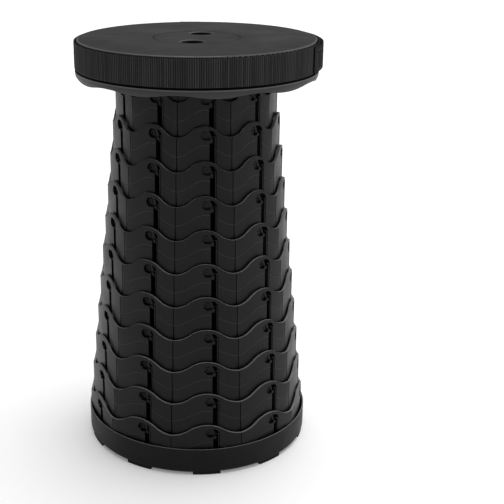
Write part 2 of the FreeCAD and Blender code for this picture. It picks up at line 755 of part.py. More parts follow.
def make_carry_loop():
    """The carry loop, a second length of webbing that lies on the band."""
    body = new_body("carry_loop", SEAT_TOP, "%s + (Sizes.loop_start - 90) * 1deg" % LOCKED)
    inside = "(%s + Sizes.strap_clearance)" % STRAP_OUTSIDE
    sketch = new_sketch(body, "loop_section", "XZ_Plane")
    draw_box(sketch, inside, "-(Sizes.strap_drop + Sizes.strap_width - Sizes.loop_inset)",
             "%s + Sizes.strap_thickness" % inside, "-(Sizes.strap_drop + Sizes.loop_inset)")
    revolution(body, "loop", sketch, "Sizes.loop_span * 1deg")
    return body


def make_strap_slider():
    """The three-bar slider that sets the length of the loop."""
    turn = "%s + Sizes.slider_angle * 1deg" % LOCKED
    body = new_body("strap_slider", SEAT_TOP, turn)
    inside = "(%s + Sizes.strap_clearance)" % STRAP_OUTSIDE
    half = "Sizes.slider_length / 2"
    top = "-(Sizes.strap_drop - Sizes.slider_margin)"
    low = "-(Sizes.strap_drop + Sizes.strap_width + Sizes.slider_margin)"
    bar = size("slider_bar")
    plate = new_sketch(body, "slider_plan", "YZ_Plane", inside)
    draw_box(plate, "-" + half, low, half, top)
    pad(body, "slider", plate, size("slider_thickness"))
    windows = new_sketch(body, "window_plan", "YZ_Plane", inside)
    draw_box(windows, "-%s + %s" % (half, bar), "%s + %s / 2" % (low, bar),
             "-%s / 2" % bar, "%s - %s / 2" % (top, bar))
    draw_box(windows, "%s / 2" % bar, "%s + %s / 2" % (low, bar),
             "%s - %s" % (half, bar), "%s - %s / 2" % (top, bar))
    pocket(body, "windows", windows, reverse=True)
    return body


def check_document():
    """Stop if any object of the document failed."""
    for part in doc.Objects:
        if "Invalid" in part.State or "Error" in part.State:
            raise RuntimeError("%s failed: %s" % (part.Label, part.State))


def export_parts(bodies):
    os.makedirs("parts", exist_ok=True)
    for body in bodies:
        shape = body.Shape
        if shape.isNull() or not shape.isValid() or not shape.Solids:
            raise RuntimeError(body.Label + " has no valid solid")
        shape.exportStep(os.path.join("parts", body.Label + ".step"))
        box = shape.BoundBox
        print("%-14s %2d solids %9.0f mm3  z %.2f to %.2f  x %.2f to %.2f" % (
            body.Label, len(shape.Solids), shape.Volume, box.ZMin, box.ZMax, box.XMin, box.XMax))


bodies = [
    make_base_cup(),
    make_foot_pads(),
    make_base_ring(),
]
for order in range(sheet.get("rings"), 0, -1):
    bodies.append(make_ring(order))
bodies += [
    make_seat_collar(),
    make_seat_frame(),
    make_seat_cover(),
    make_centre_cap(),
    make_seat_screws(),
    make_strap(),
    make_carry_loop(),
    make_strap_slider(),
]
doc.recompute()
check_document()
export_parts(bodies)
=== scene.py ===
import math

import bmesh
import bpy
from mathutils import Matrix, Vector


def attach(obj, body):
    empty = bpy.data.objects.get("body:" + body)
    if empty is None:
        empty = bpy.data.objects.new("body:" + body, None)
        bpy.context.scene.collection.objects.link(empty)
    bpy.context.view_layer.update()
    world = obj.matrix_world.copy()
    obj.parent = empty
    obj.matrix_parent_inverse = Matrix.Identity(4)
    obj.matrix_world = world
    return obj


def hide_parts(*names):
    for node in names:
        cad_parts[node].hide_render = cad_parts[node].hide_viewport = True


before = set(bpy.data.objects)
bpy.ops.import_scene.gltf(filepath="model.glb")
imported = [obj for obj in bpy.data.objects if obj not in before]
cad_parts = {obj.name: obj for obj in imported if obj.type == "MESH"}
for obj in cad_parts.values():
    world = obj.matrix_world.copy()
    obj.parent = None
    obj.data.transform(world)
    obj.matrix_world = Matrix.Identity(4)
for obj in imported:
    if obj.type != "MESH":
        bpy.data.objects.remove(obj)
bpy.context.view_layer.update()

MM = 0.001

# Sizes that the looks share with the solids: lengths in millimetres, angles in radians
FACETS = 10
RINGS = 10
RISE = 35.0
LOWEST_CREST = 57.0
WAVE_DEPTH = 11.7
HALF_FACET = math.pi / FACETS
LOCK_TWIST = math.radians(4.5)

# The rings. The middle of a facet lies FACET_FACTOR of the ring's radius from the axis.
TOP_RING_RADIUS = 86.0
RING_WALL = 2.3
RING_GAP = 1.35
RING_STEP = RING_WALL + RING_GAP
FACET_BULGE = 0.6
FACET_FACTOR = math.cos(HALF_FACET) + FACET_BULGE * (1 - math.cos(HALF_FACET))
CREASE_REACH = 0.5

# The slot in each facet. Its channel starts this far right of the facet's middle, more on each larger ring.
CHANNEL_LEFT = 4.75
SLOT_DRIFT = 0.234
CHANNEL_WIDTH = 7.0

# The ledge's rib: how far it stands out, and where it lies in the channel on the solid and here
RIB_TOP = 1.7
RIB_SOLID_LEFT = 3.5
RIB_SOLID_MIDDLE = 4.5
RIB_SOLID_RIGHT = 5.4
RIB_LEFT = 5.3
RIB_RIGHT = 6.3

# The thin line on each ring, below its wavy edge
LINE_DROP = 19.4
LINE_WIDTH = 0.8
# The painted shade on each ring, just above the edge of the next ring out
CONTACT_WIDTH = 2.2
CONTACT_MIDDLE = 0.4

# The seat, the lip under its strap, the gap round its cap and the band round the foot
SEAT_TOP = 447.0
SEAT_RADIUS = 125.2
SEAT_EDGE = 2.0
LIP_DROP = 31.7
LIP_HEIGHT = 1.3
LIP_REACH = 2.4
CAP_GAP = 45.15
FINGER_EDGE = 1.0
BAND_TOP = 30.45

# The strap, the carry loop on it and the slider
STRAP_SLACK = 0.8
STRAP_THICKNESS = 2.0
STRAP_DROP = 1.7
STRAP_WIDTH = 27.5
STRAP_OUTSIDE = SEAT_RADIUS + STRAP_SLACK + STRAP_THICKNESS
STRAP_HIGH = SEAT_TOP - STRAP_DROP
STRAP_LOW = STRAP_HIGH - STRAP_WIDTH
STRAP_MIDDLE = (STRAP_LOW + STRAP_HIGH) / 2
LOOP_CLEARANCE = 0.3
LOOP_INSIDE = STRAP_OUTSIDE + LOOP_CLEARANCE
LOOP_INSET = 1.0
LOOP_LOW = STRAP_LOW + LOOP_INSET
LOOP_HIGH = STRAP_HIGH - LOOP_INSET
LOOP_SPAN = math.radians(90)
LOOP_START = LOCK_TWIST + math.radians(-34)
LOOP_END = LOOP_START + LOOP_SPAN
SLIDER_MIDDLE = LOCK_TWIST + math.radians(84)
SLIDER_THICKNESS = 2.6
SLIDER_OUTSIDE = LOOP_INSIDE + SLIDER_THICKNESS

# The weave: one rib to a degree round the seat, a rib's height, and where the ribs end across the width
RIBS = 360
RIB_PITCH = 2 * math.pi / RIBS
RIB_HEIGHT = 0.8
RIB_END = 0.49
SELVEDGE_HEIGHT = 0.85
WEBBING_THICKNESS = 1.4

# The carry loop lies on the ribs of the strap at its ends, and stands off it between them
LOOP_OUTSIDE = STRAP_OUTSIDE + WEBBING_THICKNESS + RIB_HEIGHT
LOOP_STANDS_OFF = 2.0

# The box of stitches at each end of the loop: places along it in degrees, the rest in millimetres
STITCH_LENGTH = 2.2
STITCH_RADIUS = 0.45
STITCH_LIFT = 0.1
STITCH_MARGIN = 3.0
STITCH_ROWS = 8
STITCH_COLUMNS = 6
BOX_SIDES = (2.0, 9.0)
COLUMN_START = 2.6
COLUMN_PITCH = 1.16

# The webbing over the slider's middle bar: its half width, its clearances and how steeply it rises
THREADED_HALF = math.radians(3.5)
THREADED_BOTTOM = LOOP_INSIDE + 0.4
THREADED_TOP = SLIDER_OUTSIDE + 0.3 + WEBBING_THICKNESS
THREADED_WIDTH = LOOP_HIGH - LOOP_LOW - 0.4
THREADED_STEEPNESS = 2.2
THREADED_THICKNESS = 1.2

# How far the edges of each moulding are broken
RING_BREAK = 0.35
SHELL_BREAK = 0.3
SLIDER_BREAK = 0.5
PAD_BREAK = 0.4


# Materials

def linear(hex_colour):
    """An sRGB hex colour as linear RGBA."""
    channels = [int(hex_colour[i:i + 2], 16) / 255 for i in (0, 2, 4)]
    return [c / 12.92 if c <= 0.04045 else ((c + 0.055) / 1.055) ** 2.4 for c in channels] + [1.0]


class Finish:
    """A material with its surface shader, and one way to add a node to it."""

    def __init__(self, name, colour, roughness, ior=1.49, specular=0.5, metallic=0.0):
        self.material = bpy.data.materials.new(name)
        self.material.use_nodes = True
        self.tree = self.material.node_tree
        self.surface = self.tree.nodes["Principled BSDF"]
        self.surface.inputs["Base Color"].default_value = linear(colour)
        self.surface.inputs["Roughness"].default_value = roughness
        self.surface.inputs["IOR"].default_value = ior
        self.surface.inputs["Specular IOR Level"].default_value = specular
        self.surface.inputs["Metallic"].default_value = metallic

    def add(self, kind, settings=None, **links):
        """Add a node. Its settings are attributes, and its links are values or other nodes' outputs."""
        node = self.tree.nodes.new(kind)
        for key, value in (settings or {}).items():
            setattr(node, key, value)
        for key, value in links.items():
            socket = node.inputs[int(key[1:])] if key[1:].isdigit() else node.inputs[key.replace("_", " ")]
            if isinstance(value, bpy.types.NodeSocket):
                self.tree.links.new(value, socket)
            else:
                socket.default_value = value
        return node

    def drive(self, socket, output):
        """Link an output to a socket of the surface shader."""
        self.tree.links.new(output, self.surface.inputs[socket])


def grain(finish, place, size, depth, rough):
    """Fine spark-eroded mould grain in the bump, and clouds 40 times as large in the gloss."""
    noise = finish.add("ShaderNodeTexNoise", Vector=place, Scale=1 / size, Detail=3.0)
    cloud = finish.add("ShaderNodeTexNoise", Vector=place, Scale=1 / (40 * size), Detail=2.0)
    gloss = finish.add("ShaderNodeMapRange", Value=cloud.outputs["Fac"], From_Min=0.3, From_Max=0.7,
                       To_Min=rough[0], To_Max=rough[1])
    finish.drive("Roughness", gloss.outputs[0])
    return finish.add("ShaderNodeBump", Height=noise.outputs["Fac"], Distance=depth, Strength=1.0)


def matt_plastic(name, dark, pale, specular, mark=None):
    """Moulded plastic, spark-eroded matt: a soft even grey sheen over black, a little cloudy. A mark is
    drawn on top of its colour."""
    finish = Finish(name, dark, 0.5, specular=specular)
    place = finish.add("ShaderNodeTexCoord").outputs["Object"]
    bump = grain(finish, place, size=0.9 * MM, depth=0.05 * MM, rough=(0.46, 0.56))
    finish.drive("Normal", bump.outputs[0])
    # faint clouds of grey, 30 mm across
    cloud = finish.add("ShaderNodeTexNoise", Vector=place, Scale=1 / (30 * MM), Detail=4.0)
    shade = finish.add("ShaderNodeMix", {"data_type": "RGBA"}, Factor=cloud.outputs["Fac"],
                       i6=linear(dark), i7=linear(pale))
    colour = shade.outputs[2]
    if mark is not None:
        colour = mark(finish, place, colour)
    finish.drive("Base Color", colour)
    return finish.material


def cap_gap_shade(finish, place, colour):
    """Painted shade in the gap round the cap, drawn on the colour of the seat."""
    flat = finish.add("ShaderNodeVectorMath", {"operation": "MULTIPLY"}, i0=place, i1=(1.0, 1.0, 0.0))
    radius = finish.add("ShaderNodeVectorMath", {"operation": "LENGTH"}, i0=flat.outputs[0])
    away = finish.add("ShaderNodeMath", {"operation": "SUBTRACT"}, i0=radius.outputs["Value"],
                      i1=CAP_GAP * MM)
    off = finish.add("ShaderNodeMath", {"operation": "ABSOLUTE"}, i0=away.outputs[0])
    # painted shade: the gap is 0.3 mm wide; its shade is drawn 2 mm wide, so that it shows
    gap_shade = finish.add("ShaderNodeMapRange", {"interpolation_type": "SMOOTHSTEP"}, Value=off.outputs[0],
                     From_Min=0.7 * MM, From_Max=1.3 * MM, To_Min=1.0, To_Max=0.0)
    marked = finish.add("ShaderNodeMix", {"data_type": "RGBA"}, Factor=gap_shade.outputs[0],
                        i6=colour, i7=linear("020202"))
    return marked.outputs[2]


def ring_plastic():
    """Moulded nylon, satin: nearly black, with upright rub marks, a thin line along each wavy edge with a
    painted highlight, and painted shade just above the edge of the next ring out.
    """
    finish = Finish("nylon_satin_moulded", "121213", 0.42, specular=0.17)
    place = finish.add("ShaderNodeTexCoord").outputs["Object"]
    bump = grain(finish, place, size=1.1 * MM, depth=0.035 * MM, rough=(0.38, 0.48))
    # rub marks are scratches of 0.1 mm; they are drawn 1.5 mm wide and 40 mm long, so that they show
    upright = finish.add("ShaderNodeMapping", Vector=place,
                         Scale=(1 / (1.5 * MM), 1 / (1.5 * MM), 1 / (40 * MM)))
    rub = finish.add("ShaderNodeTexNoise", Vector=upright.outputs[0], Scale=1.0, Detail=2.0)
    panel = finish.add("ShaderNodeMix", {"data_type": "RGBA"}, Factor=rub.outputs["Fac"],
                       i6=linear("0a0a0b"), i7=linear("151516"))

    # the height above the thin line of a ring, which follows the wave of its edge
    axes = finish.add("ShaderNodeSeparateXYZ", Vector=place)
    angle = finish.add("ShaderNodeMath", {"operation": "ARCTAN2"}, i0=axes.outputs["Y"],
                       i1=axes.outputs["X"])
    turn = finish.add("ShaderNodeMath", {"operation": "MULTIPLY"}, i0=angle.outputs[0], i1=float(FACETS))
    swing = finish.add("ShaderNodeMath", {"operation": "COSINE"}, i0=turn.outputs[0])
    half_wave = WAVE_DEPTH / 2
    start = half_wave + LINE_DROP - LOWEST_CREST + RINGS * RISE
    drop = finish.add("ShaderNodeMath", {"operation": "MULTIPLY_ADD"}, i0=swing.outputs[0],
                      i1=half_wave * MM, i2=start * MM)
    level = finish.add("ShaderNodeMath", {"operation": "ADD"}, i0=axes.outputs["Z"], i1=drop.outputs[0])
    away = finish.add("ShaderNodeMath", {"operation": "PINGPONG"}, i0=level.outputs[0], i1=RISE / 2 * MM)
    line = finish.add("ShaderNodeMapRange", {"interpolation_type": "SMOOTHSTEP"}, Value=away.outputs[0],
                      From_Min=LINE_WIDTH * 0.25 * MM, From_Max=LINE_WIDTH * 0.75 * MM,
                      To_Min=1.0, To_Max=0.0)
    groove = finish.add("ShaderNodeBump", {"invert": True}, Height=line.outputs[0], Distance=0.2 * MM,
                        Strength=1.0, Normal=bump.outputs[0])
    finish.drive("Normal", groove.outputs[0])
    # painted highlight: the line is drawn paler than the panel, for the light its groove catches
    line_highlight = finish.add("ShaderNodeMix", {"data_type": "RGBA"}, Factor=line.outputs[0],
                       i6=panel.outputs[2], i7=linear("303032"))

    # painted shade: a dark line on each ring just above the edge of the next ring out, where that edge
    # shades it
    lower = finish.add("ShaderNodeMath", {"operation": "SUBTRACT"}, i0=level.outputs[0],
                       i1=(LINE_DROP + CONTACT_MIDDLE) * MM)
    near = finish.add("ShaderNodeMath", {"operation": "PINGPONG"}, i0=lower.outputs[0], i1=RISE / 2 * MM)
    contact_shade = finish.add("ShaderNodeMapRange", {"interpolation_type": "SMOOTHSTEP"}, Value=near.outputs[0],
                       From_Min=CONTACT_WIDTH * 0.25 * MM, From_Max=CONTACT_WIDTH * 0.5 * MM,
                       To_Min=0.95, To_Max=0.0)
    shade = finish.add("ShaderNodeMix", {"data_type": "RGBA"}, Factor=contact_shade.outputs[0],
                       i6=line_highlight.outputs[2], i7=linear("010101"))
    finish.drive("Base Color", shade.outputs[2])
    return finish.material


def painted_edge_highlight():
    """The same nylon on the edges, painted a paler grey for the highlight that light makes on them."""
    finish = Finish("nylon_painted_edge_highlight", "505052", 0.36, specular=0.5)
    place = finish.add("ShaderNodeTexCoord").outputs["Object"]
    patches = finish.add("ShaderNodeTexNoise", Vector=place, Scale=1 / (9 * MM), Detail=3.0)
    shade = finish.add("ShaderNodeMix", {"data_type": "RGBA"}, Factor=patches.outputs["Fac"],
                       i6=linear("5e5e60"), i7=linear("868688"))
    finish.drive("Base Color", shade.outputs[2])
    bump = grain(finish, place, size=0.6 * MM, depth=0.02 * MM, rough=(0.32, 0.44))
    finish.drive("Normal", bump.outputs[0])
    return finish.material


def webbing():
    """Woven polypropylene webbing: dull black, with a faint sheen on its ribs, and painted shade darkening
    the furrows between.
    """
    finish = Finish("polypropylene_webbing", "161617", 0.62, specular=0.25)
    place = finish.add("ShaderNodeTexCoord").outputs["Object"]
    axes = finish.add("ShaderNodeSeparateXYZ", Vector=place)
    angle = finish.add("ShaderNodeMath", {"operation": "ARCTAN2"}, i0=axes.outputs["Y"],
                       i1=axes.outputs["X"])
    turn = finish.add("ShaderNodeMath", {"operation": "MULTIPLY"}, i0=angle.outputs[0], i1=float(RIBS))
    rib = finish.add("ShaderNodeMath", {"operation": "COSINE"}, i0=turn.outputs[0])
    furrow_shade_factor = finish.add("ShaderNodeMapRange", Value=rib.outputs[0], From_Min=-1.0, From_Max=1.0,
                      To_Min=1.0, To_Max=0.0)

    # the threads are 0.5 mm thick; they slant the other way on every second rib
    lean = finish.add("ShaderNodeMath", {"operation": "MULTIPLY"}, i0=angle.outputs[0],
                      i1=float(RIBS / 2))
    zigzag = finish.add("ShaderNodeMath", {"operation": "SINE"}, i0=lean.outputs[0])
    height = finish.add("ShaderNodeMath", {"operation": "MULTIPLY"}, i0=axes.outputs["Z"],
                        i1=2 * math.pi / (1.0 * MM))
    slant = finish.add("ShaderNodeMath", {"operation": "MULTIPLY_ADD"}, i0=zigzag.outputs[0], i1=2.0,
                       i2=height.outputs[0])
    thread = finish.add("ShaderNodeMath", {"operation": "SINE"}, i0=slant.outputs[0])
    bump = finish.add("ShaderNodeBump", Height=thread.outputs[0], Distance=0.1 * MM, Strength=1.0)
    finish.drive("Normal", bump.outputs[0])
    fade = finish.add("ShaderNodeTexNoise", Vector=place, Scale=1 / (4 * MM), Detail=2.0)
    yarn = finish.add("ShaderNodeMix", {"data_type": "RGBA"}, Factor=fade.outputs["Fac"],
                      i6=linear("1b1b1c"), i7=linear("2d2d2e"))

    # no two ribs are packed alike
    which = finish.add("ShaderNodeMath", {"operation": "MULTIPLY_ADD"}, i0=angle.outputs[0],
                       i1=1 / RIB_PITCH, i2=float(RIBS))
    whole = finish.add("ShaderNodeMath", {"operation": "FLOOR"}, i0=which.outputs[0])
    chance = finish.add("ShaderNodeTexWhiteNoise", {"noise_dimensions": "1D"}, W=whole.outputs[0])
    packed = finish.add("ShaderNodeMix", {"data_type": "RGBA"}, Factor=chance.outputs["Value"],
                        i6=yarn.outputs[2], i7=linear("3e3e40"))
    # painted shade: the furrows between the ribs are darkened to near black
    shade = finish.add("ShaderNodeMix", {"data_type": "RGBA"}, Factor=furrow_shade_factor.outputs[0],
                       i6=linear("010101"), i7=packed.outputs[2])
    finish.drive("Base Color", shade.outputs[2])
    return finish.material


def sewing_thread():
    """Bonded polyester thread: smoother than the webbing, so each stitch catches a little light."""
    finish = Finish("polyester_thread", "2a2a2b", 0.45, ior=1.54, specular=0.5)
    place = finish.add("ShaderNodeTexCoord").outputs["Object"]
    twist = finish.add("ShaderNodeTexNoise", Vector=place, Scale=1 / (0.5 * MM), Detail=2.0)
    bump = finish.add("ShaderNodeBump", Height=twist.outputs["Fac"], Distance=0.08 * MM, Strength=1.0)
    finish.drive("Normal", bump.outputs[0])
    return finish.material


def pad_rubber():
    """Moulded rubber: the darkest and dullest surface of the stool."""
    finish = Finish("rubber_moulded", "0e0e0e", 0.75, ior=1.52, specular=0.2)
    place = finish.add("ShaderNodeTexCoord").outputs["Object"]
    bump = grain(finish, place, size=0.8 * MM, depth=0.05 * MM, rough=(0.7, 0.8))
    finish.drive("Normal", bump.outputs[0])
    return finish.material


def screw_steel():
    """Zinc-plated steel: a soft grey metal."""
    finish = Finish("steel_zinc_plated", "a9abad", 0.35, metallic=1.0)
    place = finish.add("ShaderNodeTexCoord").outputs["Object"]
    bump = grain(finish, place, size=0.4 * MM, depth=0.01 * MM, rough=(0.3, 0.4))
    finish.drive("Normal", bump.outputs[0])
    return finish.material


# How much brighter than paper the floor shows to the camera
FLOOR_LIFT = 0.15


def floor_paper():
    """White studio paper. It shows a little brighter to the camera, and keeps the stool's shadow."""
    finish = Finish("paper_white", "f6f6f6", 0.9, specular=0.0)
    path = finish.add("ShaderNodeLightPath")
    seen = finish.add("ShaderNodeMath", {"operation": "MAXIMUM"}, i0=path.outputs["Is Camera Ray"],
                      i1=path.outputs["Is Glossy Ray"])
    shown = finish.add("ShaderNodeMath", {"operation": "MAXIMUM"}, i0=seen.outputs[0],
                       i1=path.outputs["Is Transmission Ray"])
    lift = finish.add("ShaderNodeMath", {"operation": "MULTIPLY"}, i0=shown.outputs[0], i1=FLOOR_LIFT)
    finish.surface.inputs["Emission Color"].default_value = (1, 1, 1, 1)
    finish.drive("Emission Strength", lift.outputs[0])
    return finish.material


# The top of the seat is near black, and its rounded edge has a painted highlight: a pale line
SEAT = matt_plastic("polypropylene_matt_moulded", "181819", "212122", 0.1, cap_gap_shade)
SEAT_HIGHLIGHTED = matt_plastic("polypropylene_painted_edge_highlight", "444445", "545455", 0.3)
# Painted light: the skirt is a step paler than the top, for the floor's light it catches
SKIRT = matt_plastic("polypropylene_skirt_painted_light", "262627", "303031", 0.3)
# The band round the foot is blacker and duller than the rings
BAND = matt_plastic("polypropylene_band_moulded", "0b0b0b", "121212", 0.15)
# Painted shade: what lies deep in a slot or crease, behind the strap, or on the cut edges of the webbing is
# near black and shows hardly any sheen
SHADE = matt_plastic("nylon_painted_shade", "020202", "040404", 0.05)
RING = ring_plastic()
# Painted highlight: the top edges of the rings and of the band are painted paler where light catches them
EDGE = painted_edge_highlight()
WEBBING = webbing()
THREAD = sewing_thread()
RUBBER = pad_rubber()
STEEL = screw_steel()


# Pieces

# Where a painted face finds its finish in the materials of its piece: a painted highlight, painted shade or
# the skirt's paler painted light
HIGHLIGHTED = 1
SHADED = 2
SKIRTED = 3

# How far up or out a face looks, as a part of its normal, to count as a top, an outside or not an inside
FACES_UP = 0.7
FACES_OUT = 0.2
FACES_NOT_IN = -0.5
# Points closer than this are one point, in metres
SAME_POINT = 1e-6
# How far a face or point may lie from where a painter looks for it, in millimetres
NEARLY = 0.2


def new_piece(name, bm, body, slot, materials, *nodes):
    """A piece that rides on a body and stands for some nodes of the solid model."""
    mesh = bpy.data.meshes.new(name)
    bm.to_mesh(mesh)
    bm.free()
    piece = bpy.data.objects.new(name, mesh)
    bpy.context.scene.collection.objects.link(piece)
    for material in materials:
        mesh.materials.append(material)
    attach(piece, body)
    if nodes:
        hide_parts(*nodes)
    return piece


def moulding(node, body, materials, slot, edge, paint=None):
    """A solid as it comes out of the mould, its edges broken by a small radius. A painter gives some faces
    a finish of their own: a painted highlight, painted shade or the skirt's paler painted light."""
    bm = bmesh.new()
    bm.from_mesh(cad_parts[node].data)
    bmesh.ops.remove_doubles(bm, verts=bm.verts, dist=SAME_POINT)
    bmesh.ops.dissolve_limit(bm, angle_limit=math.radians(0.6), verts=bm.verts, edges=bm.edges)
    for line in bm.edges:
        line.tag = False
    if paint is not None:
        paint(bm)
    for face in bm.faces:
        face.smooth = True
    weight = bm.edges.layers.float.new("bevel_weight_edge")
    for line in bm.edges:
        line.smooth = line.calc_face_angle(0.0) < math.radians(30)
        line[weight] = 0.0 if line.smooth or line.tag else 1.0
    piece = new_piece(node + "_moulding", bm, body, slot, materials, node)
    bevel = piece.modifiers.new("broken_edges", "BEVEL")
    bevel.width = edge * MM
    bevel.segments = 2
    bevel.limit_method = "WEIGHT"
    bevel.harden_normals = True


def ring_painter(order):
    """Mark the painted highlight on the wavy top edge of a ring, and the painted shade on what lies deep in
    its slots and in its creases.
    """
    lowest_edge = LOWEST_CREST + RISE * (RINGS + 1 - order) - WAVE_DEPTH - 1
    inside = (TOP_RING_RADIUS + RING_STEP * (order - 1) - RING_WALL) * FACET_FACTOR
    channel = CHANNEL_LEFT + SLOT_DRIFT * (order - 1)

    def facet_place(point):
        """A point's facet, as the angle of its middle, and how far out and right of that middle it lies."""
        turn = math.atan2(point.y, point.x) + math.pi / 2
        facet = round(turn / (2 * HALF_FACET)) * 2 * HALF_FACET - math.pi / 2
        out = point.x * math.cos(facet) + point.y * math.sin(facet)
        right = point.y * math.cos(facet) - point.x * math.sin(facet)
        return facet, out / MM, right / MM

    def move_rib(bm):
        """Move the ledge's rib to where it shows behind the slot."""
        for vert in bm.verts:
            facet, out, right = facet_place(vert.co)
            along = right - channel
            on_rib = abs(out - inside - RIB_TOP) < NEARLY / 2
            if on_rib and RIB_SOLID_LEFT < along < RIB_SOLID_RIGHT:
                goal = RIB_LEFT if along < RIB_SOLID_MIDDLE else RIB_RIGHT
                vert.co += Vector((-math.sin(facet), math.cos(facet), 0)) * ((goal - along) * MM)

    def paint(bm):
        move_rib(bm)
        bm.normal_update()
        for face in bm.faces:
            middle = face.calc_center_median()
            facet, out, right = facet_place(middle)
            in_channel = -NEARLY < right - channel < CHANNEL_WIDTH + NEARLY
            in_crease = abs(abs(math.atan2(right, out)) - HALF_FACET) < CREASE_REACH / out
            outward = face.normal.x * math.cos(facet) + face.normal.y * math.sin(facet)
            # painted highlight on the wavy top edge; painted shade deep in the slots and in the creases
            if face.normal.z > FACES_UP and middle.z > lowest_edge * MM:
                face.material_index = HIGHLIGHTED
            elif in_channel and out - inside < RIB_TOP - NEARLY and outward > FACES_NOT_IN:
                face.material_index = SHADED
            elif in_crease and outward > FACES_OUT:
                face.material_index = SHADED
                # the groove of a crease stays sharp
                for line in face.edges:
                    line.tag = True
    return paint


def seat_painter(bm):
    """Mark the painted highlights on the rounded edge of the seat and on the lip under the strap, the
    painted shade under the edge, and the paler painted light on the skirt.
    """
    edge_start = SEAT_RADIUS - SEAT_EDGE
    edge_drop = SEAT_EDGE * 0.55
    side_start = SEAT_RADIUS - SEAT_EDGE * 0.6
    side_drop = LIP_DROP - 0.1
    lip_start = SEAT_RADIUS + LIP_REACH - 0.5
    lip_drop = LIP_DROP + LIP_HEIGHT * 0.9
    flat_top = 0.995
    for face in bm.faces:
        middle = face.calc_center_median()
        radius = math.hypot(middle.x, middle.y) / MM
        drop = SEAT_TOP - middle.z / MM
        # painted highlight on the rounded edge and on the lip; painted shade behind the strap; paler
        # painted light on the skirt
        if radius > edge_start and drop < edge_drop and face.normal.z < flat_top:
            face.material_index = HIGHLIGHTED
        elif radius > side_start and drop < side_drop:
            face.material_index = SHADED
        elif radius > lip_start and drop < lip_drop:
            face.material_index = HIGHLIGHTED
        elif drop > lip_drop and face.normal.x * middle.x + face.normal.y * middle.y > 0:
            face.material_index = SKIRTED


def cap_painter(bm):
    """Mark the painted highlight on the chamfers of the finger holes."""
    for face in bm.faces:
        sloping = 0.3 < face.normal.z < 0.95
        if sloping and face.calc_center_median().z > (SEAT_TOP - FINGER_EDGE) * MM:
            face.material_index = HIGHLIGHTED


def band_painter(bm):
    """Mark the painted highlight on the top edge of the band round the base."""
    for face in bm.faces:
        if face.normal.z > FACES_UP and face.calc_center_median().z > (BAND_TOP - 1) * MM:
            face.material_index = HIGHLIGHTED


def polar(radius, angle, height):
    """A point in metres, from a radius and a height in millimetres."""
    return radius * MM * math.cos(angle), radius * MM * math.sin(angle), height * MM


def crowd(share):
    """Spread rows over a width, from -0.5 to 0.5, so that they crowd at its edges."""
    return math.sin(math.pi * share) / 2


def weave(bm, radius, low, high, count):
    """Webbing round the seat: one rib across its width, then its copies side by side."""
    made = bmesh.ops.create_grid(bm, x_segments=4, y_segments=8, size=0.5)
    for vert in made["verts"]:
        across = vert.co.x
        up = crowd(vert.co.y)
        # the ribs end short of the flat woven edges
        crown = math.cos(math.pi * across) ** 2 if abs(up) < RIB_END else SELVEDGE_HEIGHT
        out = radius - RIB_HEIGHT * (1 - crown)
        vert.co = polar(out, (across + 0.5) * RIB_PITCH, (low + high) / 2 + up * (high - low))
    bmesh.ops.spin(bm, geom=bm.verts[:] + bm.edges[:] + bm.faces[:], cent=(0, 0, 0), axis=(0, 0, 1),
                   angle=RIB_PITCH * (count - 1), steps=count - 1, use_duplicate=True)
    bmesh.ops.remove_doubles(bm, verts=bm.verts, dist=SAME_POINT)


def woven_piece(name, bm, thickness, materials, *nodes):
    """A woven skin, turned away from the axis of the stool and thickened on the inside. Its cut edges
    have the last of its materials."""
    bm.normal_update()
    for face in bm.faces:
        middle = face.calc_center_median()
        if face.normal.x * middle.x + face.normal.y * middle.y < 0:
            face.normal_flip()
        face.smooth = True
    wall = new_piece(name, bm, "seat", "webbing", materials, *nodes).modifiers.new("thickness", "SOLIDIFY")
    wall.material_offset_rim = len(materials) - 1
    wall.thickness = thickness * MM
    wall.offset = -1


def strap_band():
    """The strap, once round the seat."""
    bm = bmesh.new()
    weave(bm, STRAP_OUTSIDE, STRAP_LOW, STRAP_HIGH, RIBS)
    # its cut edges are painted shade
    woven_piece("strap_webbing", bm, WEBBING_THICKNESS, (WEBBING, SHADE), "strap")


def loop_stand(angle):
    """How far the carry loop stands off the strap at an angle, in millimetres."""
    share = (angle - LOOP_START) / LOOP_SPAN
    return LOOP_STANDS_OFF * max(math.sin(math.pi * share), 0.0)


def carry_loop():
    """The second layer. It lies flat at its sewn ends and stands off between them."""
    bm = bmesh.new()
    weave(bm, LOOP_OUTSIDE, LOOP_LOW, LOOP_HIGH, round(LOOP_SPAN / RIB_PITCH))
    first = min(math.atan2(vert.co.y, vert.co.x) for vert in bm.verts)
    bmesh.ops.rotate(bm, verts=bm.verts, cent=(0, 0, 0), matrix=Matrix.Rotation(LOOP_START - first, 3, "Z"))
    for vert in bm.verts:
        out = Vector((vert.co.x, vert.co.y, 0)).normalized()
        vert.co += out * loop_stand(math.atan2(vert.co.y, vert.co.x)) * MM
    # its cut edges are painted shade
    woven_piece("carry_loop_webbing", bm, WEBBING_THICKNESS, (WEBBING, SHADE), "carry_loop")


def stitch(bm, angle, height, upright):
    """One stitch of sewing thread that lies on the carry loop."""
    radius = LOOP_OUTSIDE + STITCH_LIFT + loop_stand(angle)
    place = Matrix.Rotation(angle, 4, "Z") @ Matrix.Translation((radius * MM, 0, height * MM))
    long = STITCH_LENGTH / 2 * MM
    thin = STITCH_RADIUS * MM
    shape = Matrix.Diagonal((thin, thin, long, 1) if upright else (thin, long, thin, 1))
    bmesh.ops.create_icosphere(bm, subdivisions=1, radius=1, matrix=place @ shape)


